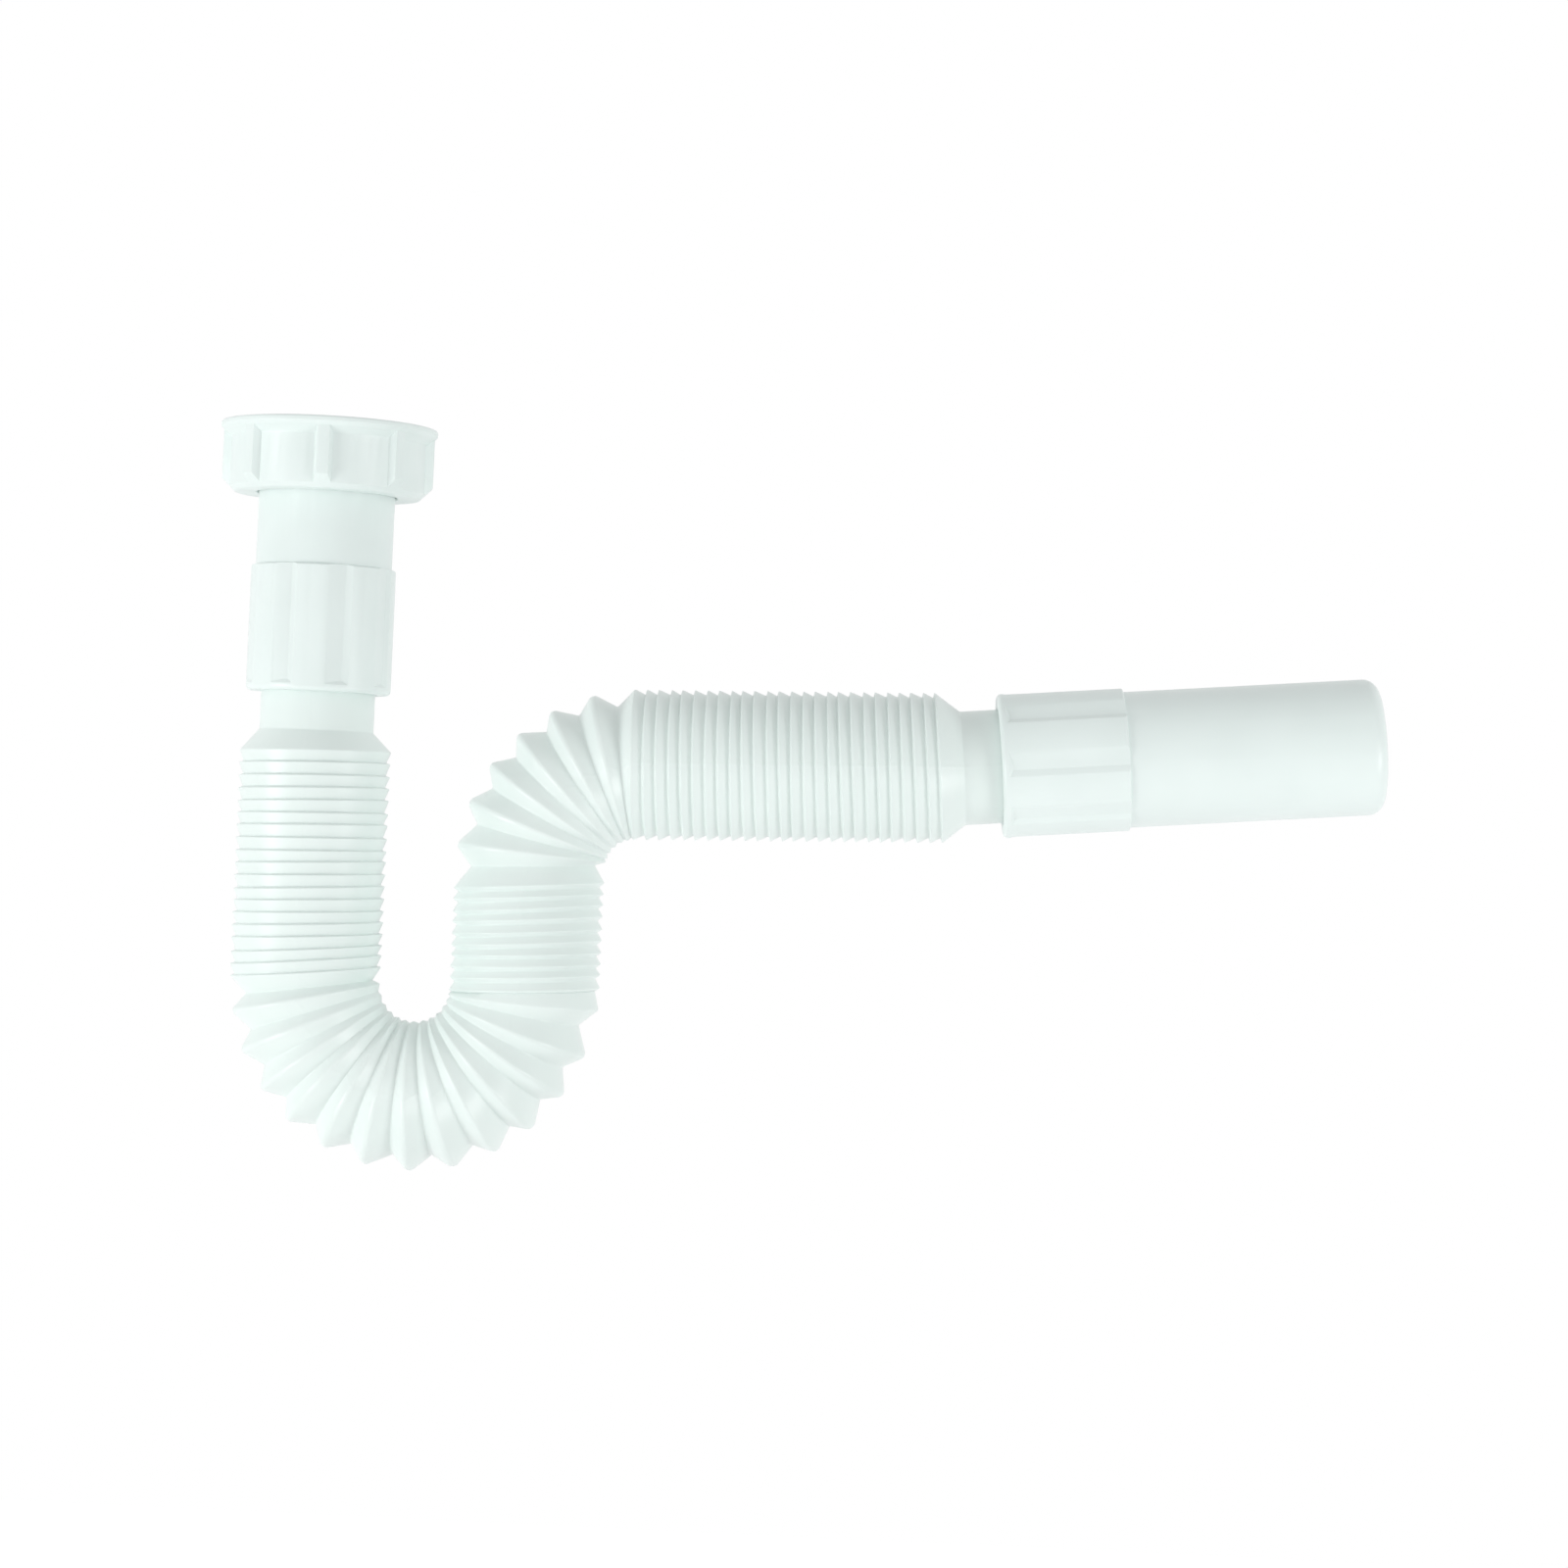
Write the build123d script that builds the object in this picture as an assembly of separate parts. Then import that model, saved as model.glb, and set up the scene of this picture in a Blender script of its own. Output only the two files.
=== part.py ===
from build123d import *
import math
import os

# A flexible waste trap for a basin. Millimetres and degrees.
# The origin is the middle of the nut's mouth, on the inlet axis, with +Z up out of the mouth.
# The trap hangs below it: down the inlet leg, round the water seal, up and out along +X.

# Union nut, for a male G 1 1/4 thread.
nut_height = 16.5
thread_radius = 41.91 / 2
thread_length = 9.2
nut_wall = 2.05
rib_height = 1.8
rib_count = 8
rib_top_width = 2.7
rib_base_width = 4.0
rib_angle = -85.5
lip_overhang = 0.7
lip_thickness = 2.1
lip_edge = 1.2
lip_round = 0.6
lip_foot_round = 0.4
panel_cove = 1.6
nut_foot_chamfer = 3.0
nut_foot_round = 0.5

# Tube of both fittings, and the flange and washer inside the nut.
tube_radius = 16.0
tube_wall = 1.8
flange_width = 3.2
flange_thickness = 1.8
washer_thickness = 2.0

# Fluted socket collar of both fittings.
collar_length = 29.6
collar_height = 1.0
rim_height = 1.6
rim_round = 1.1
flute_count = 8
flute_depth = 0.65
flute_ramp = 15.0
flute_step = 5.0
flute_runout = 0.9
socket_depth = 20.0
stop_thickness = 1.6
stop_cone = 2.5
inlet_land_angle = -91.0
outlet_land_angle = -112.5

# Where the inlet collar ends, and the outlet tube.
inlet_tube_length = 17.1
outlet_tube_length = 60.0
outlet_end_round = 3.6
outlet_mouth_flat = 0.3

# Bellows: cuffs, necks and folds.
cuff_radius = 13.4
cuff_wall = 1.2
bead_height = 0.5
bead_length = 2.8
bead_slope = 0.8
bead_from_end = 5.0
inlet_neck = 9.0
inlet_cone = 4.8
outlet_neck = 8.8
outlet_cone = 5.7
crest_radius = 17.8
fold_wall = 0.55
open_depth = 4.0
open_inner_depth = 0.6
open_share = 0.58
closed_depth = 2.0
closed_reach = 4.4
last_depth = 1.4
last_share = 0.85

# Path of the bellows: straight runs of closed folds joined by two bends of open folds.
leg_folds = 18
leg_pitch = 2.96
leg_to_bend = 1.2
seal_radius = 25.95
seal_turn = 180.0
seal_first = 8.4
seal_step = 13.6
seal_crests = 13
riser_first = 0.2
riser_folds = 9
riser_pitch = 2.655
riser_to_bend = 5.7
elbow_radius = 24.8
elbow_turn = 88.15
elbow_first = 6.2
elbow_step = 13.5
elbow_crests = 7
run_first = 2.6
run_folds = 24
run_pitch = 2.862
run_lean = 3.6

# Clearances.
nut_clearance = 0.5
flange_clearance = 0.3
seat_clearance = 0.4
thread_to_washer = 0.2
snap_clearance = 0.1
end_clearance = 0.3

# Sizes that follow from those above.
panel_radius = thread_radius + nut_wall
rib_radius = panel_radius + rib_height
lip_radius = rib_radius + lip_overhang
flange_radius = tube_radius + flange_width
seat_radius = flange_radius + seat_clearance
tube_bore = tube_radius - tube_wall
land_radius = tube_radius + collar_height
washer_top = -thread_length - thread_to_washer
flange_top = washer_top - washer_thickness
flange_foot = flange_top - flange_thickness
floor_top = flange_foot - flange_clearance
inlet_collar_end = -nut_height - inlet_tube_length - collar_length
socket_radius = cuff_radius + snap_clearance
stop_radius = cuff_radius - cuff_wall
cuff_depth = socket_depth - end_clearance


def turned(corners):
    """Solid turned about Z. Each corner is (radius, height, rounding)."""
    points = [(radius, height) for radius, height, rounding in corners]
    rounds = [rounding for radius, height, rounding in corners]
    outline = FilletPolyline(*points, radius=rounds, close=True)
    return revolve(Plane.XZ * make_face(outline.edges()), Axis.Z)


def polar(radius, angle):
    """Point in the XY plane at a radius and an angle."""
    return (radius * math.cos(math.radians(angle)), radius * math.sin(math.radians(angle)))


def union_nut():
    """Nut with a lip round its mouth, ribs that stand between sunk panels, and a chamfered foot."""
    body = turned([
        (tube_radius + nut_clearance, -nut_height, 0.4),
        (rib_radius - nut_foot_chamfer, -nut_height, nut_foot_round),
        (rib_radius, -nut_height + nut_foot_chamfer, nut_foot_round),
        (rib_radius, -lip_thickness, lip_foot_round),
        (lip_radius, -lip_edge, lip_foot_round / 2),
        (lip_radius, 0, lip_round),
        (thread_radius, 0, 0),
        (thread_radius, -thread_length, 0),
        (seat_radius, -thread_length, 0),
        (seat_radius, floor_top, 0),
        (tube_radius + nut_clearance, floor_top, 0),
    ])
    outside = lip_radius + 1
    below = -nut_height - 1
    panels = turned([
        (panel_radius, below, 0),
        (outside, below, 0),
        (outside, -lip_thickness, 0),
        (rib_radius, -lip_thickness, 0),
        (panel_radius, -lip_thickness - panel_cove, panel_cove / 2),
    ])
    draft = (rib_base_width - rib_top_width) / 2 / rib_height
    half_outside = rib_base_width / 2 - draft * (outside + 1 - panel_radius)
    half_inside = rib_base_width / 2 + draft
    rib_outline = make_face(Polyline((panel_radius - 1, -half_inside), (outside + 1, -half_outside),
                                     (outside + 1, half_outside), (panel_radius - 1, half_inside), close=True))
    rib = Pos(0, 0, below) * extrude(rib_outline, nut_height + 1)
    ribs = [Rot(0, 0, rib_angle + number * 360 / rib_count) * rib for number in range(rib_count)]
    return body - (panels - ribs)


def sealing_washer():
    """Flat washer that lies on the flange."""
    return turned([
        (tube_bore, flange_top, 0),
        (flange_radius, flange_top, 0.2),
        (flange_radius, washer_top, 0.2),
        (tube_bore, washer_top, 0),
    ])


def socket_fitting(upper, land_angle):
    """Collar with a socket for the cuff from height 0 up, then the tube. upper is the rest of its outline."""
    stop_top = socket_depth + stop_thickness
    bead_middle = socket_depth - end_clearance - bead_from_end
    groove_radius = socket_radius + bead_height
    groove_half = bead_length / 2 + snap_clearance
    body = turned([
        (socket_radius + 0.5, 0, 0),
        (land_radius, 0, rim_round),
        (land_radius, collar_length, 0.5),
        (tube_radius, collar_length, 0),
        *upper,
        (tube_bore, stop_top + stop_cone, 0),
        (stop_radius, stop_top, 0),
        (stop_radius, socket_depth, 0),
        (socket_radius, socket_depth, 0),
        (socket_radius, bead_middle + groove_half, 0),
        (groove_radius, bead_middle + groove_half - bead_slope, 0),
        (groove_radius, bead_middle - groove_half + bead_slope, 0),
        (socket_radius, bead_middle - groove_half, 0),
        (socket_radius, 0.5, 0),
    ])
    pitch = 360 / flute_count
    ramp_start = land_angle + (pitch - flute_ramp - flute_step) / 2
    outside = land_radius + 2
    flute = make_face(Polyline(
        polar(land_radius, ramp_start),
        polar(land_radius - flute_depth, ramp_start + flute_ramp),
        polar(land_radius, ramp_start + flute_ramp + flute_step),
        polar(outside, ramp_start + flute_ramp + flute_step),
        polar(outside, ramp_start),
        close=True,
    ))
    rim = turned([
        (land_radius - 2 * flute_depth, 0, 0),
        (outside + 1, 0, 0),
        (outside + 1, rim_height, 0),
        (land_radius, rim_height, 0),
        (land_radius - 2 * flute_depth, rim_height + 2 * flute_runout, 0),
    ])
    cutter = extrude(flute, collar_length + 1) - rim
    return body - [Rot(0, 0, number * pitch) * cutter for number in range(flute_count)]


def inlet_tailpiece():
    """Fitting with a flange that the nut pulls up against the waste."""
    top = flange_top - inlet_collar_end
    foot = flange_foot - inlet_collar_end
    fitting = socket_fitting([
        (tube_radius, foot, 0.8),
        (flange_radius, foot, 0.3),
        (flange_radius, top, 0.3),
        (tube_bore, top, 0.4),
    ], inlet_land_angle)
    return Pos(0, 0, inlet_collar_end) * fitting


def outlet_spigot():
    """Fitting whose tube goes into the drain pipe, with a turned-in end."""
    end = collar_length + outlet_tube_length
    mouth_radius = tube_radius - outlet_end_round - outlet_mouth_flat
    fitting = socket_fitting([
        (tube_radius, end, outlet_end_round),
        (mouth_radius, end, 0),
        (mouth_radius, end - tube_wall, 0),
        (tube_bore, end - tube_wall, outlet_end_round - tube_wall),
    ], outlet_land_angle)
    x, z, heading = place(bellows_length())
    turn = math.radians(heading)
    seat = Plane(origin=(x, 0, z), x_dir=(-math.cos(turn), 0, -math.sin(turn)),
                 z_dir=(math.sin(turn), 0, -math.cos(turn)))
    return seat.location * fitting


def legs():
    """Path from the inlet collar to the outlet collar: (length, turn, lean) of each stretch.

    A lean tilts the folds bit by bit and leaves the middle line straight.
    """
    return [
        (inlet_neck + inlet_cone + leg_folds * leg_pitch + leg_to_bend, 0, 0),
        (seal_radius * math.radians(seal_turn), seal_turn, 0),
        (riser_first + riser_folds * riser_pitch + riser_to_bend, 0, 0),
        (elbow_radius * math.radians(elbow_turn), -elbow_turn, 0),
        (run_first + run_folds * run_pitch + outlet_cone, 0, run_lean),
        (outlet_neck, 0, 0),
    ]


def bellows_length():
    """Length of the path between the two collars."""
    return sum(length for length, turn, lean in legs())


def place(distance):
    """Point and heading on the path. Heading 0 is down, 90 is along +X, 180 is up."""
    x, z, heading = 0, inlet_collar_end, 0
    stretches = legs()
    for number, (length, turn, lean) in enumerate(stretches):
        last = number == len(stretches) - 1
        part = distance if last else min(distance, length)
        half = math.radians(turn * part / length / 2)
        chord = part * math.sin(half) / half if half else part
        travel = math.radians(heading) + half
        x += chord * math.sin(travel)
        z -= chord * math.cos(travel)
        heading += (turn + lean) * part / length
        distance -= part
        if distance <= 0:
            break
    return x, z, heading


def crests():
    """Distance along the path of every fold's crest."""
    bends = [0]
    for length, turn, lean in legs():
        bends.append(bends[-1] + length)
    first = inlet_neck + inlet_cone
    found = [first + number * leg_pitch for number in range(leg_folds + 1)]
    found += [bends[1] + seal_radius * math.radians(seal_first + number * seal_step)
              for number in range(seal_crests)]
    found += [bends[2] + riser_first + number * riser_pitch for number in range(riser_folds + 1)]
    found += [bends[3] + elbow_radius * math.radians(elbow_first + number * elbow_step)
              for number in range(elbow_crests)]
    found += [bends[4] + run_first + number * run_pitch for number in range(run_folds + 1)]
    return found


def fold_line():
    """Outside of the folds as (distance, radius, shift), from the inlet neck to the outlet neck.

    Where two crests stand close together the fold is closed: its short flank is pushed back under
    the next crest. The last closed fold before an open one has no room for that and stays upright.
    In a bend a fold opens on the outside only, so its root is shifted towards the inside of the bend.
    """
    tops = crests()
    gaps = [following - top for top, following in zip(tops, tops[1:])]
    line = [(inlet_neck, cuff_radius, 0)]
    for number, gap in enumerate(gaps):
        top = tops[number]
        line.append((top, crest_radius, 0))
        closed = gap < closed_reach
        next_closed = number + 1 < len(gaps) and gaps[number + 1] < closed_reach
        if closed and next_closed:
            line.append((top + closed_reach, crest_radius - closed_depth, 0))
        elif closed:
            line.append((top + last_share * gap, crest_radius - last_depth, 0))
        else:
            bend = (place(top + gap)[2] - place(top)[2]) / seal_step
            shift = max(-1, min(1, bend)) * (open_depth - open_inner_depth) / 2
            line.append((top + open_share * gap, crest_radius - open_depth + abs(shift), shift))
    line.append((tops[-1], crest_radius, 0))
    line.append((bellows_length() - outlet_neck, cuff_radius, 0))
    return line


def inner_line(line):
    """The line moved in by the wall: each corner goes to where its two moved flanks meet."""
    moved = []
    for before, corner, after in zip(line, line[1:], line[2:]):
        first = math.atan2(corner[1] - before[1], corner[0] - before[0])
        second = math.atan2(after[1] - corner[1], after[0] - corner[0])
        half = math.remainder(second - first, 2 * math.pi) / 2
        reach = fold_wall / math.cos(half)
        across = first + half
        moved.append((corner[0] + reach * math.sin(across), corner[1] - reach * math.cos(across), corner[2]))
    return moved


def ring(distance, radius, shift=0):
    """Circle square to the path. A shift moves it across the path, towards +X where the path goes down."""
    x, z, heading = place(distance)
    turn = math.radians(heading)
    middle = (x + shift * math.cos(turn), 0, z + shift * math.sin(turn))
    return Wire.make_circle(radius, Plane(origin=middle, x_dir=(0, 1, 0),
                                          z_dir=(math.sin(turn), 0, -math.cos(turn))))


def bead(middle):
    """Outline of the snap bead round a cuff."""
    half = bead_length / 2
    top = cuff_radius + bead_height
    return [
        (middle - half, cuff_radius),
        (middle - half + bead_slope, top),
        (middle + half - bead_slope, top),
        (middle + half, cuff_radius),
    ]


def bellows_hose():
    """Thin folded wall between two skins of rings, closed at the ends of the cuffs."""
    start = -cuff_depth
    finish = bellows_length() + cuff_depth
    folds = fold_line()
    outside = [(start, cuff_radius), *bead(start + bead_from_end), *folds,
               *bead(finish - bead_from_end), (finish, cuff_radius)]
    cuff_bore = cuff_radius - cuff_wall
    inside = [(start, cuff_bore), (inlet_neck, cuff_bore), *inner_line(folds),
              (bellows_length() - outlet_neck, cuff_bore), (finish, cuff_bore)]
    faces = []
    for skin in (outside, inside):
        rings = [ring(*place_and_size) for place_and_size in skin]
        for near, far in zip(rings, rings[1:]):
            faces.append(Face.make_surface_from_curves(near.edge(), far.edge()))
    for distance in (start, finish):
        faces.append(Face(ring(distance, cuff_radius), [ring(distance, cuff_bore)]))
    return Solid(Shell(faces))


os.makedirs("parts", exist_ok=True)
for make in (union_nut, sealing_washer, inlet_tailpiece, bellows_hose, outlet_spigot):
    export_step(make(), "parts/" + make.__name__ + ".step")
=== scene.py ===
# %% [markdown]
# A flexible waste trap, dressed for its portrait. The solids of the union nut, the inlet tailpiece, the
# bellows and the outlet spigot come in as a fixed frame. This lesson rounds their edges the way a mould
# does, folds a finer bellows, cuts the thread in the nut and mixes the cold white plastic.

# %% Load the frame
import math

import bpy
from mathutils import Matrix, Vector


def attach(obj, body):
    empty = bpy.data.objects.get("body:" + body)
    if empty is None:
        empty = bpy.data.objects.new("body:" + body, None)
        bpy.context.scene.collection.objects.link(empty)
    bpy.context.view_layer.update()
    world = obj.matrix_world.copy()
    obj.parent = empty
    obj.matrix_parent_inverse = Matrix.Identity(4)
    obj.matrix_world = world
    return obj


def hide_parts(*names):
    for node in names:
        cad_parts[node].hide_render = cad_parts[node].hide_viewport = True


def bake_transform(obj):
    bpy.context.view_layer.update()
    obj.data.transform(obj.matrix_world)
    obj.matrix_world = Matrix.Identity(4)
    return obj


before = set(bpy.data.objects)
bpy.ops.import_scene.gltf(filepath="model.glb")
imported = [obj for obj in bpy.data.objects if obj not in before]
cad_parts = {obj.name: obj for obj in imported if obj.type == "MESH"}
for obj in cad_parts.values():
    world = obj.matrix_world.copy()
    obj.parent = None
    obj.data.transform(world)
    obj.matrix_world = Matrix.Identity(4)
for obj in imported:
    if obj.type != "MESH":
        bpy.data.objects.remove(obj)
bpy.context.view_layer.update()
MM = 0.001

# %% [markdown]
# Every operator works on what is selected, and the solids arrive selected. So each step starts with an
# empty selection. These helpers do that, and close a piece by applying its modifiers in order.

# %% Selection helpers


def deselect_all():
    """Object mode with nothing selected."""
    if bpy.context.mode != "OBJECT":
        bpy.ops.object.mode_set(mode="OBJECT")
    bpy.ops.object.select_all(action="DESELECT")


def pick(piece):
    """Selects one piece and makes it active."""
    deselect_all()
    piece.select_set(True)
    bpy.context.view_layer.objects.active = piece


def apply_modifiers(piece):
    """Applies the modifiers from the top down."""
    pick(piece)
    for name in [modifier.name for modifier in piece.modifiers]:
        bpy.ops.object.modifier_apply(modifier=name)


def report_size(piece):
    """Prints what a step has made."""
    print(piece.name, "has", len(piece.data.vertices), "vertices and", len(piece.data.polygons), "faces")


# %% [markdown]
# The camera stands almost level, nine tenths of a metre in front of the bends, with a long portrait lens,
# so the edges of the collars look nearly straight, as they do in the picture. It is rolled by two and a
# half degrees, because the trap in the picture leans by that much while the model's inlet is upright.
# Setting the view first means every later step can be judged from it.

# %% Camera
FRAME_PIXELS, PIXELS_PER_MM, SENSOR_MM = 1600, 4.325, 36
CAMERA_AIM = Vector((111.6, 0, -79.9)) * MM
CAMERA_DISTANCE = 900
SIDE, LOW, ROLL = math.radians(0.9), math.radians(0.9), math.radians(-2.5)
camera_data = bpy.data.cameras.new("portrait_camera")
camera_data.sensor_width = SENSOR_MM
camera_data.lens = SENSOR_MM * PIXELS_PER_MM * CAMERA_DISTANCE / FRAME_PIXELS
camera = bpy.data.objects.new("portrait_camera", camera_data)
bpy.context.collection.objects.link(camera)
away = Vector((math.sin(SIDE) * math.cos(LOW), -math.cos(SIDE) * math.cos(LOW), -math.sin(LOW)))
camera.location = CAMERA_AIM + away * CAMERA_DISTANCE * MM
camera.rotation_euler = (math.radians(90) + LOW, ROLL, SIDE)
bpy.context.scene.camera = camera
print("camera at", [round(value, 3) for value in camera.location], "lens", round(camera_data.lens, 1), "mm")

# %% [markdown]
# The bellows follows one route: down the inlet leg, half a turn round the water seal, up the riser, round
# the elbow and along the run. The solids use the same stretches. Each is a length, a turn and a lean, and
# a lean tilts the folds bit by bit along a straight line. Walking the stretches gives a place and a heading
# for any distance, so the bellows can be modelled straight and laid on the route afterwards.

# %% Route of the bellows
INLET_COLLAR_END = -63.2
NECK_IN, CONE_IN, NECK_OUT, CONE_OUT = 9.0, 4.8, 8.8, 5.7
LEG_FOLDS, LEG_PITCH, LEG_TAIL = 18, 2.96, 1.2
SEAL_RADIUS, SEAL_TURN = 25.95, 180.0
RISER_HEAD, RISER_FOLDS, RISER_PITCH, RISER_TAIL = 0.2, 9, 2.655, 5.7
ELBOW_RADIUS, ELBOW_TURN = 24.8, 88.15
RUN_HEAD, RUN_FOLDS, RUN_PITCH, RUN_LEAN = 2.6, 24, 2.862, 3.6
stretches = [
    (NECK_IN + CONE_IN + LEG_FOLDS * LEG_PITCH + LEG_TAIL, 0, 0),
    (SEAL_RADIUS * math.radians(SEAL_TURN), SEAL_TURN, 0),
    (RISER_HEAD + RISER_FOLDS * RISER_PITCH + RISER_TAIL, 0, 0),
    (ELBOW_RADIUS * math.radians(ELBOW_TURN), -ELBOW_TURN, 0),
    (RUN_HEAD + RUN_FOLDS * RUN_PITCH + CONE_OUT, 0, RUN_LEAN),
    (NECK_OUT, 0, 0),
]
ends = [0]
for length, turn, lean in stretches:
    ends.append(ends[-1] + length)
ROUTE_LENGTH = ends[-1]


def place(distance):
    """Point and heading on the route, in millimetres and degrees. Heading 0 is down and 90 is along +X."""
    x, z, heading = 0.0, INLET_COLLAR_END, 0.0
    for number, (length, turn, lean) in enumerate(stretches):
        part = distance if number == len(stretches) - 1 else min(distance, length)
        half = math.radians(turn * part / length / 2)
        chord = part * math.sin(half) / half if half else part
        travel = math.radians(heading) + half
        x += chord * math.sin(travel)
        z -= chord * math.cos(travel)
        heading += (turn + lean) * part / length
        distance -= part
        if distance <= 0:
            break
    return x, z, heading


print("route", round(ROUTE_LENGTH, 1), "mm, outlet collar at", [round(v, 1) for v in place(ROUTE_LENGTH)])

# %% [markdown]
# A crest is where the wall stands furthest out. In the straight stretches the folds are closed and the crests
# lie close together. In the two bends they are spread by an angle. Listing their distances along the route
# first keeps the drawing of the wall simple. A crest with wide gaps on both sides is an open one.

# %% Crests of the bellows
SEAL_FIRST, SEAL_STEP, SEAL_CRESTS = 8.4, 13.6, 13
ELBOW_FIRST, ELBOW_STEP, ELBOW_CRESTS = 6.2, 13.5, 7
CLOSED_REACH = 4.4
tops = [NECK_IN + CONE_IN + k * LEG_PITCH for k in range(LEG_FOLDS + 1)]
tops += [ends[1] + SEAL_RADIUS * math.radians(SEAL_FIRST + SEAL_STEP * k) for k in range(SEAL_CRESTS)]
tops += [ends[2] + RISER_HEAD + k * RISER_PITCH for k in range(RISER_FOLDS + 1)]
tops += [ends[3] + ELBOW_RADIUS * math.radians(ELBOW_FIRST + ELBOW_STEP * k) for k in range(ELBOW_CRESTS)]
tops += [ends[4] + RUN_HEAD + k * RUN_PITCH for k in range(RUN_FOLDS + 1)]
open_tops = [top for before, top, after in zip(tops, tops[1:], tops[2:])
             if min(top - before, after - top) > CLOSED_REACH]
print(len(tops), "crests,", len(open_tops), "of them open")

# %% [markdown]
# The wall of the bellows is one zigzag. A closed fold is a shallow saw tooth: a long flank, and a short step
# back out to the next crest. In the bends the folds have popped open, but on the outside only. So every
# valley also has a shift, which moves its ring of wall towards the inside of the bend, where the folds stay
# shut. Each corner of the line is a distance, a radius and a shift. Each closed fold is a depth and a step.

# %% Fold line of the bellows
CUFF_RADIUS, CREST_RADIUS = 13.4, 17.8
OPEN_DEPTH, OPEN_INNER_DEPTH, OPEN_STEP_SHARE = 4.0, 0.6, 0.42
CLOSED_INNER_DEPTH = 0.2
LEG_FOLD, RISER_FOLD, RUN_FOLD = (1.05, 0.34), (1.2, 0.8), (1.25, 0.32)
closed_folds = [(ends[1], LEG_FOLD), (ends[3], RISER_FOLD), (ends[5], RUN_FOLD)]
fold_line = [(NECK_IN, CUFF_RADIUS, 0)]
for top, following in zip(tops, tops[1:]):
    gap = following - top
    fold_line.append((top, CREST_RADIUS, 0))
    depth, shut, back = OPEN_DEPTH, OPEN_INNER_DEPTH, OPEN_STEP_SHARE * gap
    if gap < CLOSED_REACH:
        shut = CLOSED_INNER_DEPTH
        depth, back = next(fold for end, fold in closed_folds if top < end)
    bend = max(-1, min(1, (place(following)[2] - place(top)[2]) / SEAL_STEP))
    shift = bend * (depth - shut) / 2
    fold_line.append((top + gap - back, CREST_RADIUS - depth + abs(shift), shift))
fold_line += [(tops[-1], CREST_RADIUS, 0), (ROUTE_LENGTH - NECK_OUT, CUFF_RADIUS, 0)]
print("fold line of", len(fold_line), "corners")

# %% [markdown]
# Blown pipe is thin, and its inside has the same folds. The line moved in by the wall gives the inner skin.
# Each corner moves along the line that halves its angle, so that both flanks keep their thickness.

# %% Inner skin of the bellows
FOLD_WALL = 0.55
inner_line = []
for before, corner, after in zip(fold_line, fold_line[1:], fold_line[2:]):
    first = math.atan2(corner[1] - before[1], corner[0] - before[0])
    second = math.atan2(after[1] - corner[1], after[0] - corner[0])
    half = math.remainder(second - first, 2 * math.pi) / 2
    reach = FOLD_WALL / math.cos(half)
    inner_line.append((corner[0] + reach * math.sin(first + half),
                       corner[1] - reach * math.cos(first + half), corner[2]))
print("inner skin of", len(inner_line), "corners")

# %% [markdown]
# The wall of the bellows and the tooth of the thread both start as an outline of single edges. By hand one
# sets a vertex and extrudes it from corner to corner, and this helper does the same: a small plane is merged
# into one vertex, the vertex is extruded along the corners, and an edge closes the outline. A curve could
# draw the line too, but here each corner keeps its number and is easy to pick for a bevel.

# %% Outline helpers


def pick_vertices(piece, numbers):
    """Edit mode with only the numbered vertices selected."""
    pick(piece)
    bpy.ops.object.mode_set(mode="EDIT")
    bpy.ops.mesh.select_mode(type="VERT")
    bpy.ops.mesh.select_all(action="DESELECT")
    bpy.ops.object.mode_set(mode="OBJECT")
    for number in numbers:
        piece.data.vertices[number].select = True
    bpy.ops.object.mode_set(mode="EDIT")


def drawn_outline(name, corners):
    """Closed outline of single edges through corners in millimetres."""
    deselect_all()
    bpy.ops.mesh.primitive_plane_add(size=MM, location=(0, 0, 0))
    piece = bpy.context.active_object
    piece.name = piece.data.name = name
    pick_vertices(piece, range(len(piece.data.vertices)))
    bpy.ops.mesh.merge(type="CENTER")
    bpy.ops.transform.translate(value=Vector(corners[0]) * MM)
    for corner, following in zip(corners, corners[1:]):
        step = (Vector(following) - Vector(corner)) * MM
        bpy.ops.mesh.extrude_vertices_move(TRANSFORM_OT_translate={"value": step})
    pick_vertices(piece, (0, len(corners) - 1))
    bpy.ops.mesh.edge_face_add()
    bpy.ops.object.mode_set(mode="OBJECT")
    print(name, "outline has", len(piece.data.vertices), "corners and", len(piece.data.edges), "edges")
    return piece


def round_corners(piece, numbers, radius, segments):
    """Vertex bevel on the numbered corners of an outline."""
    pick_vertices(piece, numbers)
    bpy.ops.mesh.bevel(affect="VERTICES", offset=radius * MM, offset_type="OFFSET", segments=segments)
    bpy.ops.object.mode_set(mode="OBJECT")


# %% [markdown]
# A blow-moulded crest is never knife sharp. The outer corners of the outline are rounded with a vertex
# bevel, the open crests a little more than the rest, and a spin of one full turn makes the straight bellows.
# Stacked rings joined by bridges would also work, but the spin keeps the line exact.

# %% Spin an outline into bellows
AROUND = 96
CREST_ROUND, CREST_SEGMENTS = 0.25, 3
OPEN_ROUND, OPEN_SEGMENTS = 0.7, 4
SAME_SPOT = 0.01
MERGE_DISTANCE = 0.002 * MM


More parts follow.
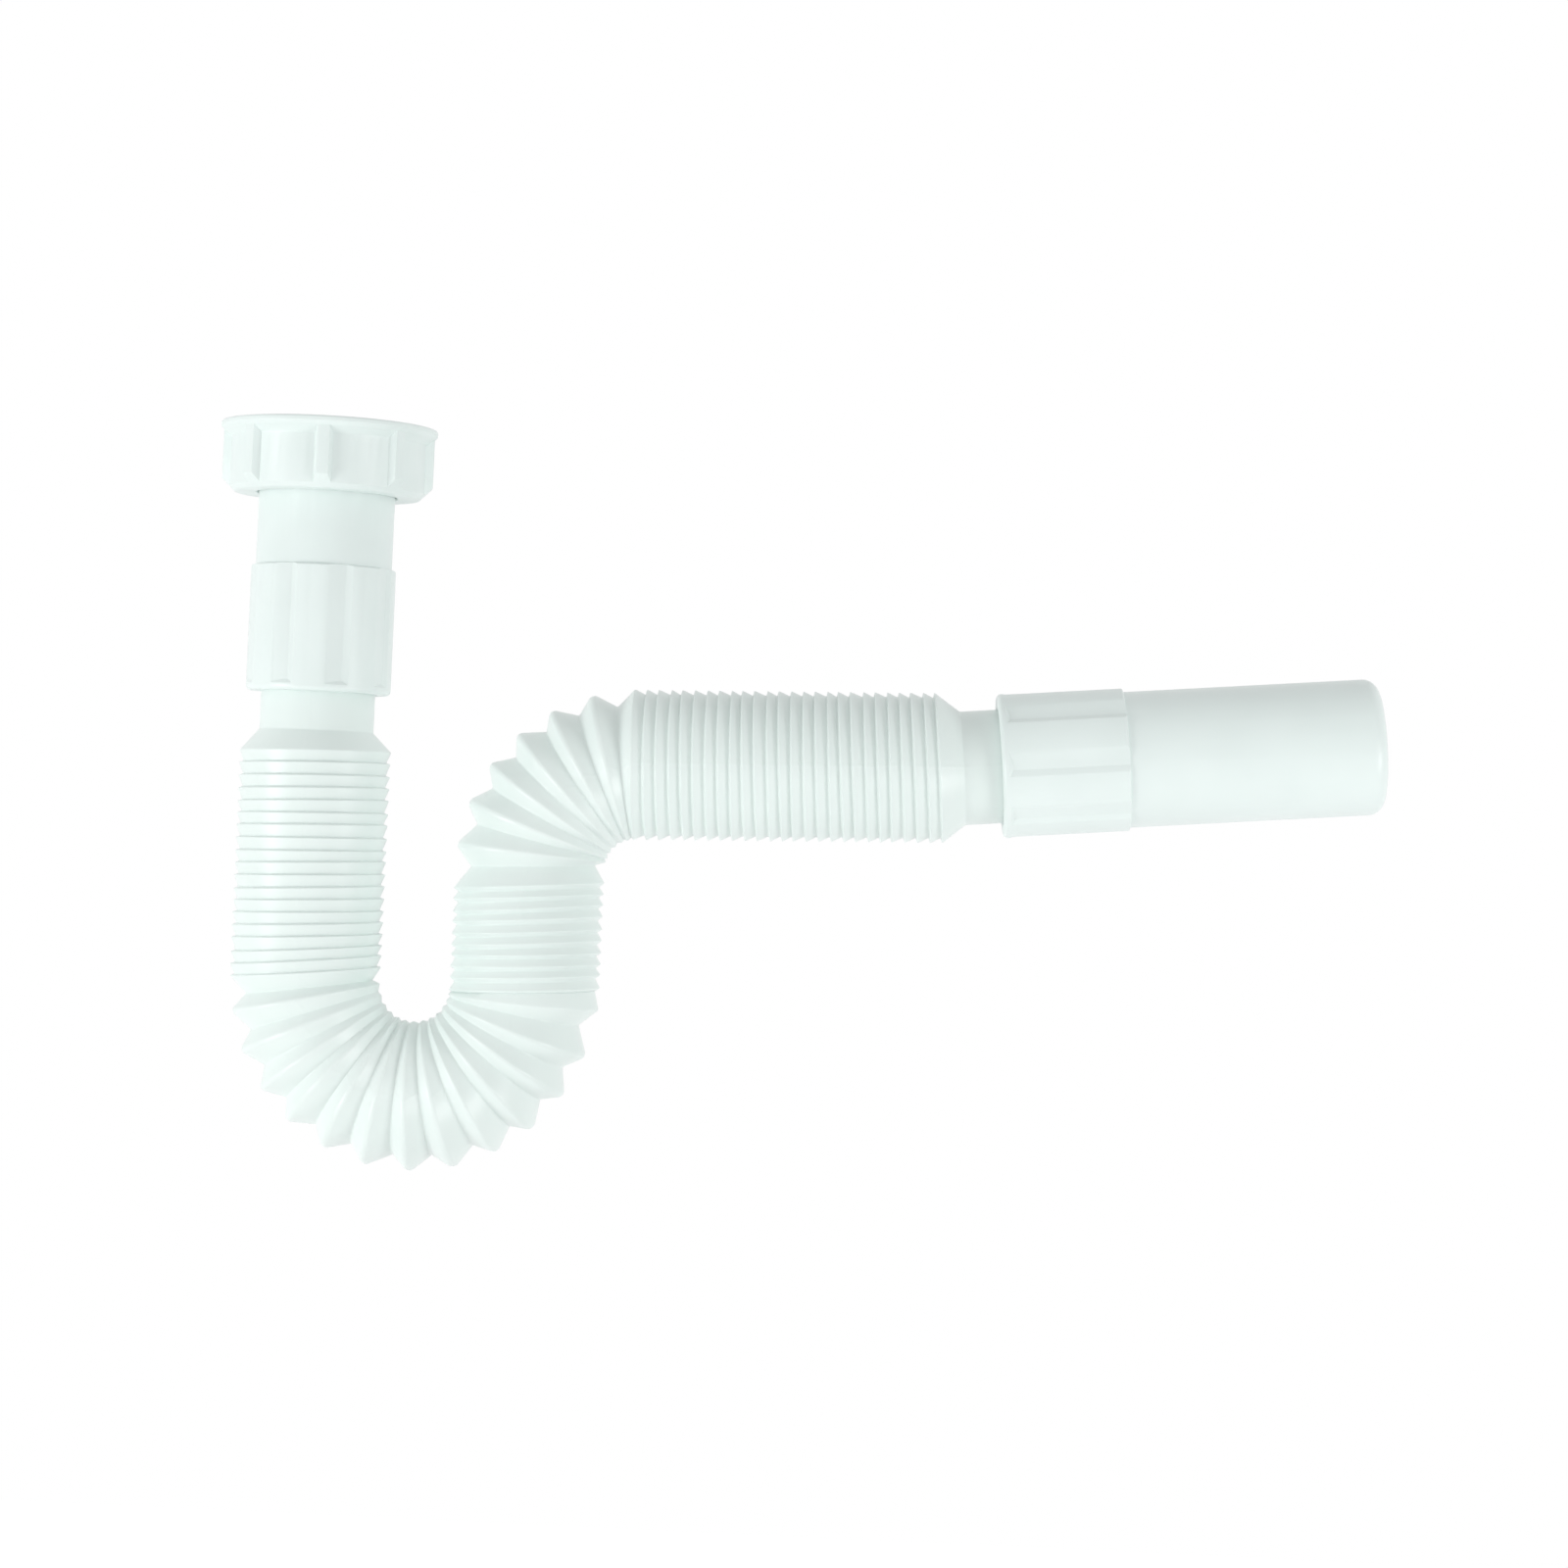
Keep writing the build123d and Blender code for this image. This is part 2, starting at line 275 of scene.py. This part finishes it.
def spun_length(name, outside, inside):
    """Straight length of bellows about X: outer skin there, inner skin back, spun and closed."""
    piece = drawn_outline(name, [(s, 0, r) for s, r, shift in outside + inside[::-1]])
    soft = [k for k, corner in enumerate(outside) if corner[0] in open_tops and corner[1] == CREST_RADIUS]
    plain = [k for k in range(1, len(outside) - 1) if k not in soft]
    round_corners(piece, plain, CREST_ROUND, CREST_SEGMENTS)
    peaks = [vertex.index for vertex in piece.data.vertices
             if abs(vertex.co.z / MM - CREST_RADIUS) < SAME_SPOT
             and any(abs(vertex.co.x / MM - outside[k][0]) < SAME_SPOT for k in soft)]
    round_corners(piece, peaks, OPEN_ROUND, OPEN_SEGMENTS)
    print(name, "has", len(peaks), "open crests")
    bpy.ops.object.mode_set(mode="EDIT")
    bpy.ops.mesh.select_all(action="SELECT")
    bpy.ops.mesh.spin(steps=AROUND, angle=2 * math.pi, center=(0, 0, 0), axis=(1, 0, 0))
    bpy.ops.mesh.select_all(action="SELECT")
    bpy.ops.mesh.remove_doubles(threshold=MERGE_DISTANCE)
    bpy.ops.mesh.normals_make_consistent(inside=False)
    bpy.ops.object.mode_set(mode="OBJECT")
    report_size(piece)
    return piece


# %% [markdown]
# The bellows is one moulding, but it is made here in two lengths that meet in the valley at the end of the
# water seal. A plain cuff at each end goes into its fitting and hides there.

# %% The two lengths of bellows
CUFF_BORE, CUFF_DEPTH = 12.2, 19.7
SPLIT_BEFORE_RISER = 2.5
split = next(k for k, corner in enumerate(fold_line)
             if corner[0] > ends[2] - SPLIT_BEFORE_RISER and corner[1] < CREST_RADIUS)
cuff_in = [(-CUFF_DEPTH, CUFF_RADIUS, 0)]
cuff_out = [(ROUTE_LENGTH + CUFF_DEPTH, CUFF_RADIUS, 0)]
bore_in = [(-CUFF_DEPTH, CUFF_BORE, 0), (NECK_IN, CUFF_BORE, 0)]
bore_out = [(ROUTE_LENGTH - NECK_OUT, CUFF_BORE, 0), (ROUTE_LENGTH + CUFF_DEPTH, CUFF_BORE, 0)]
bellows_leg = spun_length("bellows_leg", cuff_in + fold_line[:split + 1], bore_in + inner_line[:split])
bellows_run = spun_length("bellows_run", fold_line[split:] + cuff_out, inner_line[split - 1:] + bore_out)

# %% [markdown]
# Real folds never sit quite square and even. In the picture those of the leg lean more and more towards the
# bend, those of the riser lean too, and those of the water seal are pushed on a little. The table gives the
# shift and tilt at some distances, and between them they change evenly. Two slow waves nudge every fold a
# little more, but leave the cuffs calm.

# %% How the folds sit
FOLD_SEATS = [
    (NECK_IN, 0, 0), (NECK_IN + CONE_IN, 0, 1.5), (40, -0.3, 2.0), (55, -0.7, 3.0), (67, -1.2, 5.5),
    (72, -0.2, 5.0), (78, 0, 2.0), (85, 0, 0), (97, 0, 0), (118, 0.7, 0), (139, 0.95, 0), (146, 1.4, 1.0),
    (150, 0.6, 3.0), (174, 1.0, 4.5), (182, 0.3, 2.0), (189, 0, 0),
]
SHIFT_WAVES = [(0.08, 1.37, 0), (0.08, 0.53, 1.1)]
TILT_WAVES = [(0.35, 0.31, 0.4), (0.3, 0.83, 0)]
CALM_END, CALM_FADE = 12, 6


def wave(waves, distance):
    """Sum of sines, each with a height, a rate and a start."""
    return sum(height * math.sin(distance * rate + start) for height, rate, start in waves)


def fold_seat(distance):
    """Shift along the route in millimetres, and tilt in degrees, of the fold at a distance."""
    shift, tilt = 0, 0
    for (start, *first), (end, *last) in zip(FOLD_SEATS, FOLD_SEATS[1:]):
        if start <= distance < end:
            share = (distance - start) / (end - start)
            shift, tilt = (low + (high - low) * share for low, high in zip(first, last))
    from_ends = min(distance, ROUTE_LENGTH - distance) - CALM_END
    edge = min(1, max(0, from_ends / CALM_FADE))
    return shift + edge * wave(SHIFT_WAVES, distance), tilt + edge * wave(TILT_WAVES, distance)


print("last leg fold sits at", [round(value, 2) for value in fold_seat(tops[LEG_FOLDS])])

# %% [markdown]
# Now the straight lengths are laid on the route. A curve modifier could bend them, but it cannot lean the
# folds, so each vertex is placed in code: its distance gives a place and heading, and its height above the
# axis goes across the bend. The height is also stored as a share of the radius, for the parting line.

# %% Lay the bellows on the route
BELLOWS_SMOOTH = math.radians(50)


def shift_across(distance, radius):
    """How far a ring of wall moves towards the inside of its bend. Crests stay, and valleys move most."""
    for before, valley, after in zip(fold_line, fold_line[1:], fold_line[2:]):
        if valley[2] and before[0] < distance < after[0]:
            return valley[2] * min(1, max(0, (CREST_RADIUS - radius) / (CREST_RADIUS - valley[1])))
    return 0


def lay_on_route(piece):
    """Moves every vertex from the straight axis to the route."""
    around = piece.data.attributes.new("around", "FLOAT", "POINT")
    rings = {}
    for k, vertex in enumerate(piece.data.vertices):
        s, y, h = (value / MM for value in vertex.co)
        ring = (round(s, 3), round(math.hypot(y, h), 3))
        if ring not in rings:
            shift, tilt = fold_seat(s)
            rings[ring] = (*place(s + shift), tilt, shift_across(*ring))
        x, z, heading, tilt, across = rings[ring]
        turn = math.radians(heading + tilt)
        around.data[k].value = h / ring[1]
        vertex.co = Vector((x + (h + across) * math.cos(turn), y, z + (h + across) * math.sin(turn))) * MM
    piece.data.update()
    pick(piece)
    bpy.ops.object.shade_smooth_by_angle(angle=BELLOWS_SMOOTH)
    print(piece.name, "laid on the route in", len(rings), "rings")


lay_on_route(bellows_leg)
lay_on_route(bellows_run)

# %% [markdown]
# The moulded fittings and the nut keep their solids' shape, but a mould leaves every edge slightly round,
# and that thin line of light is what makes plastic look like plastic. A copy of each solid is merged into
# one skin and its sharp edges get a small bevel. The solid itself is left alone and stands behind.

# %% Soften the moulded pieces
FLAT, MOULDED_SMOOTH = math.radians(0.5), math.radians(35)
NUT_EDGE, FITTING_EDGE = (0.12, 40), (0.25, 18)
EDGE_SEGMENTS = 3


def own_copy(name, node):
    """Free copy of a solid, at the origin and without the frame's marks."""
    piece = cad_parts[node].copy()
    piece.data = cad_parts[node].data.copy()
    piece.name = piece.data.name = name
    piece.animation_data_clear()
    for key in [key for key in piece.keys() if key.startswith("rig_")]:
        del piece[key]
    piece.parent = None
    piece.matrix_world = Matrix.Identity(4)
    bpy.context.collection.objects.link(piece)
    return piece


def softened(name, node, width, limit):
    """Copy of a solid with merged corners. Edges sharper than the limit in degrees are rounded."""
    piece = own_copy(name, node)
    pick(piece)
    bpy.ops.object.mode_set(mode="EDIT")
    bpy.ops.mesh.select_all(action="SELECT")
    bpy.ops.mesh.remove_doubles(threshold=MERGE_DISTANCE)
    bpy.ops.mesh.dissolve_limited(angle_limit=FLAT)
    bpy.ops.object.mode_set(mode="OBJECT")
    bevel = piece.modifiers.new("mould_edges", "BEVEL")
    bevel.width = width * MM
    bevel.segments = EDGE_SEGMENTS
    bevel.limit_method = "ANGLE"
    bevel.angle_limit = math.radians(limit)
    apply_modifiers(piece)
    bpy.ops.object.shade_smooth_by_angle(angle=MOULDED_SMOOTH)
    report_size(piece)
    return piece


nut_body = softened("nut_body", "union_nut", *NUT_EDGE)
tailpiece_body = softened("tailpiece_body", "inlet_tailpiece", *FITTING_EDGE)
spigot_body = softened("spigot_body", "outlet_spigot", *FITTING_EDGE)

# %% [markdown]
# Inside the nut runs a right-hand thread with eleven turns to the inch. One tooth is drawn as a small
# outline with its foot sunk in the bore, and the Screw modifier sweeps it up the axis. A boolean cut would
# give the same groove, but with many small faces.

# %% Sweep the nut's thread
THREAD_RADIUS, THREAD_PITCH, THREAD_DEPTH = 20.955, 2.309, 1.4
THREAD_FOOT, THREAD_TURNS, STEPS_PER_TURN = -8.1, 3.0, 80
SUNK, SUNK_HALF, ROOT_HALF, TIP_HALF = 0.12, 1.1, 1.02, 0.3
THREAD_CLIMB = THREAD_TURNS * THREAD_PITCH
tooth = [(THREAD_RADIUS + SUNK, -SUNK_HALF), (THREAD_RADIUS, -ROOT_HALF),
         (THREAD_RADIUS - THREAD_DEPTH, -TIP_HALF)]
tooth += [(radius, -height) for radius, height in reversed(tooth)]
nut_thread = drawn_outline("nut_thread", [(r, 0, z + THREAD_FOOT) for r, z in tooth])
screw = nut_thread.modifiers.new("screw", "SCREW")
screw.angle = 2 * math.pi * THREAD_TURNS
screw.screw_offset = THREAD_CLIMB * MM
screw.steps = screw.render_steps = int(STEPS_PER_TURN * THREAD_TURNS)
screw.use_merge_vertices = False
apply_modifiers(nut_thread)
report_size(nut_thread)

# %% [markdown]
# A moulded thread doesn't stop with a blunt tooth. Its two ends are run out into the wall, so that they fade
# away in the mouth and at the seat of the washer. Each vertex that stands in from the bore goes back towards
# it by how near it is to an end.

# %% Run the thread out
RUN_OUT, RUN_OUT_PAST = 0.28, 0.16
THREAD_SMOOTH = math.radians(40)
bore = THREAD_RADIUS * MM
for vertex in nut_thread.data.vertices:
    radius = math.hypot(vertex.co.x, vertex.co.y)
    climb = (vertex.co.z / MM - THREAD_FOOT) / THREAD_CLIMB
    fade = min(1, max(0, (min(climb, 1 - climb) + RUN_OUT_PAST) / RUN_OUT))
    if radius < bore:
        scale = (bore - (bore - radius) * fade) / radius
        vertex.co.x *= scale
        vertex.co.y *= scale
pick(nut_thread)
bpy.ops.object.mode_set(mode="EDIT")
bpy.ops.mesh.select_all(action="SELECT")
bpy.ops.mesh.normals_make_consistent(inside=False)
bpy.ops.object.mode_set(mode="OBJECT")
bpy.ops.object.shade_smooth_by_angle(angle=THREAD_SMOOTH)
print("thread reaches z", round(max(vertex.co.z for vertex in nut_thread.data.vertices) / MM, 2), "mm")

# %% [markdown]
# The finishes are built from nodes in code. These helpers start an empty group, add a noise on the piece's
# own coordinates and add a math node, so that each recipe below stays short enough to read.

# %% Node helpers


def new_group(name, inputs, outputs):
    """Empty shader group with named float inputs and outputs."""
    group = bpy.data.node_groups.new(name, "ShaderNodeTree")
    for label, value in inputs:
        group.interface.new_socket(label, in_out="INPUT", socket_type="NodeSocketFloat").default_value = value
    for label in outputs:
        group.interface.new_socket(label, in_out="OUTPUT", socket_type="NodeSocketFloat")
    return group, group.nodes.new("NodeGroupInput"), group.nodes.new("NodeGroupOutput")


def noise(tree, coordinates, scale, detail):
    """Noise texture on the piece's own coordinates."""
    node = tree.nodes.new("ShaderNodeTexNoise")
    node.inputs["Scale"].default_value = scale
    node.inputs["Detail"].default_value = detail
    tree.links.new(coordinates.outputs["Object"], node.inputs["Vector"])
    return node.outputs["Fac"]


def math_node(tree, operation, *values):
    """Math node fed by sockets or plain numbers."""
    node = tree.nodes.new("ShaderNodeMath")
    node.operation = operation
    for slot, value in enumerate(values):
        if isinstance(value, (int, float)):
            node.inputs[slot].default_value = value
        else:
            tree.links.new(value, node.inputs[slot])
    return node.outputs[0]


# %% [markdown]
# All the white pieces are natural polypropylene with a cold tint. Moulding leaves cloudy flow marks, slow
# waves and a fine grain. They are one node group, so that every white material can use them with a grain of
# its own.

# %% Moulding marks
CLOUD_SCALE, WAVE_SCALE, GRAIN_SCALE = 45, 260, 2600
WAVE_SHARE = 0.7
moulding, group_in, group_out = new_group("moulding_marks", [("Grain", 0.3)], ["Cloud", "Height", "Gloss"])
where = moulding.nodes.new("ShaderNodeTexCoord")
cloud = noise(moulding, where, CLOUD_SCALE, detail=2)
grain = noise(moulding, where, GRAIN_SCALE, detail=2)
waves = noise(moulding, where, WAVE_SCALE, detail=3)
height = math_node(moulding, "ADD", math_node(moulding, "MULTIPLY", grain, group_in.outputs["Grain"]),
                   math_node(moulding, "MULTIPLY", waves, WAVE_SHARE))
moulding.links.new(cloud, group_out.inputs["Cloud"])
moulding.links.new(height, group_out.inputs["Height"])
moulding.links.new(waves, group_out.inputs["Gloss"])
print(moulding.name, "has", len(moulding.nodes), "nodes")

# %% [markdown]
# A few dark specks of dust from the workshop sit on the plastic. A cell texture scatters points, a cut at a
# short distance turns each into a dot, and the cell's own colour picks the few that show.

# %% Dust specks
CELL_SCALE, SPECK_SIZE, SPECK_RARITY = 70, 0.018, 0.86
dust, dust_in, dust_out = new_group("dust_specks", [("Amount", 0.5)], ["Speck"])
where = dust.nodes.new("ShaderNodeTexCoord")
cells = dust.nodes.new("ShaderNodeTexVoronoi")
cells.inputs["Scale"].default_value = CELL_SCALE
dust.links.new(where.outputs["Object"], cells.inputs["Vector"])
chosen = dust.nodes.new("ShaderNodeSeparateColor")
dust.links.new(cells.outputs["Color"], chosen.inputs["Color"])
near = math_node(dust, "LESS_THAN", cells.outputs["Distance"], SPECK_SIZE)
rare = math_node(dust, "GREATER_THAN", chosen.outputs["Red"], SPECK_RARITY)
speck = math_node(dust, "MULTIPLY", math_node(dust, "MULTIPLY", near, rare), dust_in.outputs["Amount"])
dust.links.new(speck, dust_out.inputs["Speck"])
print(dust.name, "has", len(dust.nodes), "nodes")

# %% [markdown]
# The white plastic is one recipe used three times. A ramp turns the cloudy marks into two very close cold
# whites, the specks darken it in a few places, and the marks also roughen it and lift its surface. A little
# subsurface light softens the folds, as it does in real thin-walled pipe.

# %% Colour and relief of the plastic
SPECK_AMOUNT, SPECK_GREY = 0.55, (0.22, 0.23, 0.22, 1)
CLOUD_RANGE, GLOSS_SPREAD, RELIEF_HEIGHT = (0.35, 0.65), 0.06, 0.06 * MM


def group_node(tree, group, label, value):
    """Node for a shared group with one input set."""
    node = tree.nodes.new("ShaderNodeGroup")
    node.node_tree = group
    node.inputs[label].default_value = value
    return node


def speckled_white(tree, marks, pale, deep):
    """Cloudy white with specks, as a colour socket."""
    specks = group_node(tree, dust, "Amount", SPECK_AMOUNT)
    ramp = tree.nodes.new("ShaderNodeValToRGB")
    for element, position, colour in zip(ramp.color_ramp.elements, CLOUD_RANGE, (deep, pale)):
        element.position = position
        element.color = (*colour, 1)
    tree.links.new(marks.outputs["Cloud"], ramp.inputs["Fac"])
    speckled = tree.nodes.new("ShaderNodeMix")
    speckled.data_type = "RGBA"
    speckled.inputs["B"].default_value = SPECK_GREY
    tree.links.new(specks.outputs["Speck"], speckled.inputs["Factor"])
    tree.links.new(ramp.outputs["Color"], speckled.inputs["A"])
    return speckled.outputs["Result"]


def relief_node(tree, height, shader, strength, distance):
    """Bump that lifts the surface by a height socket."""
    relief = tree.nodes.new("ShaderNodeBump")
    relief.inputs["Strength"].default_value = strength
    relief.inputs["Distance"].default_value = distance
    tree.links.new(height, relief.inputs["Height"])
    tree.links.new(relief.outputs["Normal"], shader.inputs["Normal"])
    return relief


# %% [markdown]
# The recipe itself joins these and sets the shader. The nut and the fittings are thicker than the bellows,
# so light goes deeper into them, and their surface is a little less glossy.

# %% White plastic
PLASTIC_IOR, SUBSURFACE_SHARE, SUBSURFACE_TINT = 1.49, 0.08, (0.9, 1.0, 0.95)
FITTING_PALE, FITTING_DEEP = (0.785, 0.865, 0.845), (0.76, 0.84, 0.82)


def white_plastic(name, pale, deep, roughness, grain, bump, depth):
    """Cold white polypropylene. Returns the material, its node tree and its bump node."""
    material = bpy.data.materials.new(name)
    material.use_nodes = True
    tree = material.node_tree
    shader = tree.nodes["Principled BSDF"]
    marks = group_node(tree, moulding, "Grain", grain)
    tree.links.new(speckled_white(tree, marks, pale, deep), shader.inputs["Base Color"])
    gloss = tree.nodes.new("ShaderNodeMapRange")
    gloss.inputs["To Min"].default_value = roughness - GLOSS_SPREAD
    gloss.inputs["To Max"].default_value = roughness + GLOSS_SPREAD
    tree.links.new(marks.outputs["Gloss"], gloss.inputs["Value"])
    tree.links.new(gloss.outputs["Result"], shader.inputs["Roughness"])
    relief = relief_node(tree, marks.outputs["Height"], shader, bump, RELIEF_HEIGHT)
    shader.inputs["IOR"].default_value = PLASTIC_IOR
    shader.inputs["Subsurface Weight"].default_value = SUBSURFACE_SHARE
    shader.inputs["Subsurface Radius"].default_value = SUBSURFACE_TINT
    shader.inputs["Subsurface Scale"].default_value = depth * MM
    print(name, "has", len(tree.nodes), "nodes")
    return material, tree, relief


nut_white, _, _ = white_plastic("nut_white", FITTING_PALE, FITTING_DEEP,
                                roughness=0.36, grain=0.35, bump=0.25, depth=1.5)
fitting_white, _, _ = white_plastic("fitting_white", FITTING_PALE, FITTING_DEEP,
                                    roughness=0.34, grain=0.3, bump=0.22, depth=1.5)

# %% [markdown]
# The bellows is the same plastic, but blown into a two-part mould, so a fine parting line runs along its
# front and back. The share of height stored on the mesh is near zero there, and a narrow band of it raises
# the bump.

# %% Bellows plastic with its parting line
BELLOWS_PALE, BELLOWS_DEEP = (0.785, 0.865, 0.84), (0.765, 0.845, 0.82)
SEAM_EDGE, SEAM_TOP, SEAM_HEIGHT = 0.035, 0.008, 1.6
bellows_white, tree, relief = white_plastic("bellows_white", BELLOWS_PALE, BELLOWS_DEEP,
                                            roughness=0.33, grain=0.3, bump=0.3, depth=0.6)
angle = tree.nodes.new("ShaderNodeAttribute")
angle.attribute_name = "around"
seam = tree.nodes.new("ShaderNodeMapRange")
seam.inputs["From Min"].default_value = SEAM_EDGE
seam.inputs["From Max"].default_value = SEAM_TOP
tree.links.new(math_node(tree, "ABSOLUTE", angle.outputs["Fac"]), seam.inputs["Value"])
marks_height = relief.inputs["Height"].links[0].from_socket
seam_height = math_node(tree, "MULTIPLY", seam.outputs["Result"], SEAM_HEIGHT)
tree.links.new(math_node(tree, "ADD", marks_height, seam_height), relief.inputs["Height"])
print("with its parting line", bellows_white.name, "has", len(tree.nodes), "nodes")

# %% [markdown]
# The washer is black rubber, matt and slightly bloomed. It hides inside the nut and shows from above.

# %% Washer rubber
RUBBER_DARK, RUBBER_BLOOM = (0.018, 0.018, 0.02, 1), (0.06, 0.06, 0.063, 1)
BLOOM_SCALE, RUBBER_ROUGHNESS, RUBBER_BUMP, RUBBER_RELIEF = 420, 0.7, 0.4, 0.1 * MM
rubber = bpy.data.materials.new("washer_rubber")
rubber.use_nodes = True
tree = rubber.node_tree
shader = tree.nodes["Principled BSDF"]
bloom = noise(tree, tree.nodes.new("ShaderNodeTexCoord"), BLOOM_SCALE, detail=4)
ramp = tree.nodes.new("ShaderNodeValToRGB")
ramp.color_ramp.elements[0].color = RUBBER_DARK
ramp.color_ramp.elements[1].color = RUBBER_BLOOM
tree.links.new(bloom, ramp.inputs["Fac"])
tree.links.new(ramp.outputs["Color"], shader.inputs["Base Color"])
relief_node(tree, bloom, shader, RUBBER_BUMP, RUBBER_RELIEF)
shader.inputs["Roughness"].default_value = RUBBER_ROUGHNESS
print(rubber.name, "has", len(tree.nodes), "nodes")

# %% [markdown]
# Each piece now gets its material, and the name printed with it tells what it is made of. The nut, the
# fittings and the bellows have a material each, so that one of them can be given another colour by itself.

# %% Dress the pieces


def dress(piece, material, slot_name):
    """One material on the whole piece."""
    piece.data.materials.clear()
    piece.data.materials.append(material)
    print(piece.name, "wears", slot_name)


dress(nut_body, nut_white, "nut_plastic")
dress(nut_thread, nut_white, "nut_plastic")
dress(tailpiece_body, fitting_white, "fitting_plastic")
dress(spigot_body, fitting_white, "fitting_plastic")
dress(bellows_leg, bellows_white, "bellows_plastic")
dress(bellows_run, bellows_white, "bellows_plastic")
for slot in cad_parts["sealing_washer"].material_slots:
    slot.material = rubber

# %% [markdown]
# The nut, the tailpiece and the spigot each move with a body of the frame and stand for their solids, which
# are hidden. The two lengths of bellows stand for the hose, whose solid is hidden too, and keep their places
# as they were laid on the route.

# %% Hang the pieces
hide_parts("union_nut")
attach(nut_body, "nut")
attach(nut_thread, "nut")
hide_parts("inlet_tailpiece")
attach(tailpiece_body, "inlet")
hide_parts("outlet_spigot")
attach(spigot_body, "outlet")
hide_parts("bellows_hose")
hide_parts("bellows_hose")
leg_start, leg_end = place(NECK_IN + CONE_IN), place(ends[1])
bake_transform(bellows_leg)
run_start, run_end = place(ends[4] + RUN_HEAD), place(ROUTE_LENGTH - NECK_OUT - CONE_OUT)
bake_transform(bellows_run)
print("leg stretches over", round(leg_start[1] - leg_end[1], 1), "mm, run over",
      round(run_end[0] - run_start[0], 1), "mm")

# %% [markdown]
# The trap hangs from its nut, so the floor lies well below it, as a cupboard floor would. To the camera, and
# in reflections, it glows up to plain white. To all other light it is only a pale floor.

# %% Floor
FLOOR_SIZE, FLOOR_SPOT = 6, (0.1, 0, -0.8)
FLOOR_GREY, FLOOR_ROUGHNESS, FLOOR_GLOW = (0.9, 0.9, 0.9, 1), 0.9, 0.55
WHITE = (1, 1, 1, 1)


def background_rays(tree):
    """Socket that is 1 for rays that see the background: from the camera, a reflection or a clear piece."""
    rays = tree.nodes.new("ShaderNodeLightPath")
    mirrored = math_node(tree, "MAXIMUM", rays.outputs["Is Glossy Ray"], rays.outputs["Is Transmission Ray"])
    return math_node(tree, "MAXIMUM", rays.outputs["Is Camera Ray"], mirrored)


deselect_all()
bpy.ops.mesh.primitive_plane_add(size=FLOOR_SIZE, location=FLOOR_SPOT)
floor = bpy.context.active_object
floor.name = "studio_floor"
floor_white = bpy.data.materials.new("studio_floor")
floor_white.use_nodes = True
tree = floor_white.node_tree
shader = tree.nodes["Principled BSDF"]
shader.inputs["Base Color"].default_value = FLOOR_GREY
shader.inputs["Roughness"].default_value = FLOOR_ROUGHNESS
shader.inputs["Emission Color"].default_value = WHITE
glow = math_node(tree, "MULTIPLY", background_rays(tree), FLOOR_GLOW)
tree.links.new(glow, shader.inputs["Emission Strength"])
floor.data.materials.append(floor_white)
print("floor at", FLOOR_SPOT[2], "m")

# %% [markdown]
# The sky gives most of the light. It is plain white to the camera and grey to everything else, and it fades a
# little towards the top, because the picture was lit more from the front than from above.

# %% Sky
SKY_LEVEL, SKY_TOP = 0.735, 0.63
world = bpy.data.worlds.new("studio")
bpy.context.scene.world = world
world.use_nodes = True
tree = world.node_tree
sky = tree.nodes["Background"]
sky.inputs["Color"].default_value = WHITE
toward = tree.nodes.new("ShaderNodeTexCoord")
direction = tree.nodes.new("ShaderNodeSeparateXYZ")
tree.links.new(toward.outputs["Generated"], direction.inputs["Vector"])
fading = tree.nodes.new("ShaderNodeMapRange")
fading.inputs["To Min"].default_value = SKY_LEVEL
fading.inputs["To Max"].default_value = SKY_TOP
tree.links.new(direction.outputs["Z"], fading.inputs["Value"])
tree.links.new(fading.outputs["Result"], sky.inputs["Strength"])
white = tree.nodes.new("ShaderNodeBackground")
white.inputs["Color"].default_value = WHITE
white.inputs["Strength"].default_value = 1.0
mixed = tree.nodes.new("ShaderNodeMixShader")
tree.links.new(background_rays(tree), mixed.inputs["Fac"])
tree.links.new(sky.outputs["Background"], mixed.inputs[1])
tree.links.new(white.outputs["Background"], mixed.inputs[2])
tree.links.new(mixed.outputs["Shader"], tree.nodes["World Output"].inputs["Surface"])
print("sky from", SKY_LEVEL, "down to", SKY_TOP, "at the top")

# %% [markdown]
# Two soft lamps stand low on either side in front, the left one a little stronger. They round the tubes and
# leave the tops of the folds in a light shade, as in the picture.

# %% Softboxes
LAMP_AIM, LAMP_SIZE = Vector((0.1, 0, -0.09)), 0.4


def softbox(name, spot, watts):
    """Square area lamp that faces the trap."""
    lamp = bpy.data.lights.new(name, "AREA")
    lamp.size = LAMP_SIZE
    lamp.energy = watts
    holder = bpy.data.objects.new(name, lamp)
    bpy.context.collection.objects.link(holder)
    holder.location = spot
    holder.rotation_euler = (LAMP_AIM - Vector(spot)).to_track_quat("-Z", "Y").to_euler()
    print(name, "gives", watts, "W")


softbox("low_left", (-0.77, -0.54, -0.31), 4.3)
softbox("low_right", (0.97, -0.54, -0.31), 3.2)
bpy.context.scene.view_settings.view_transform = "Standard"
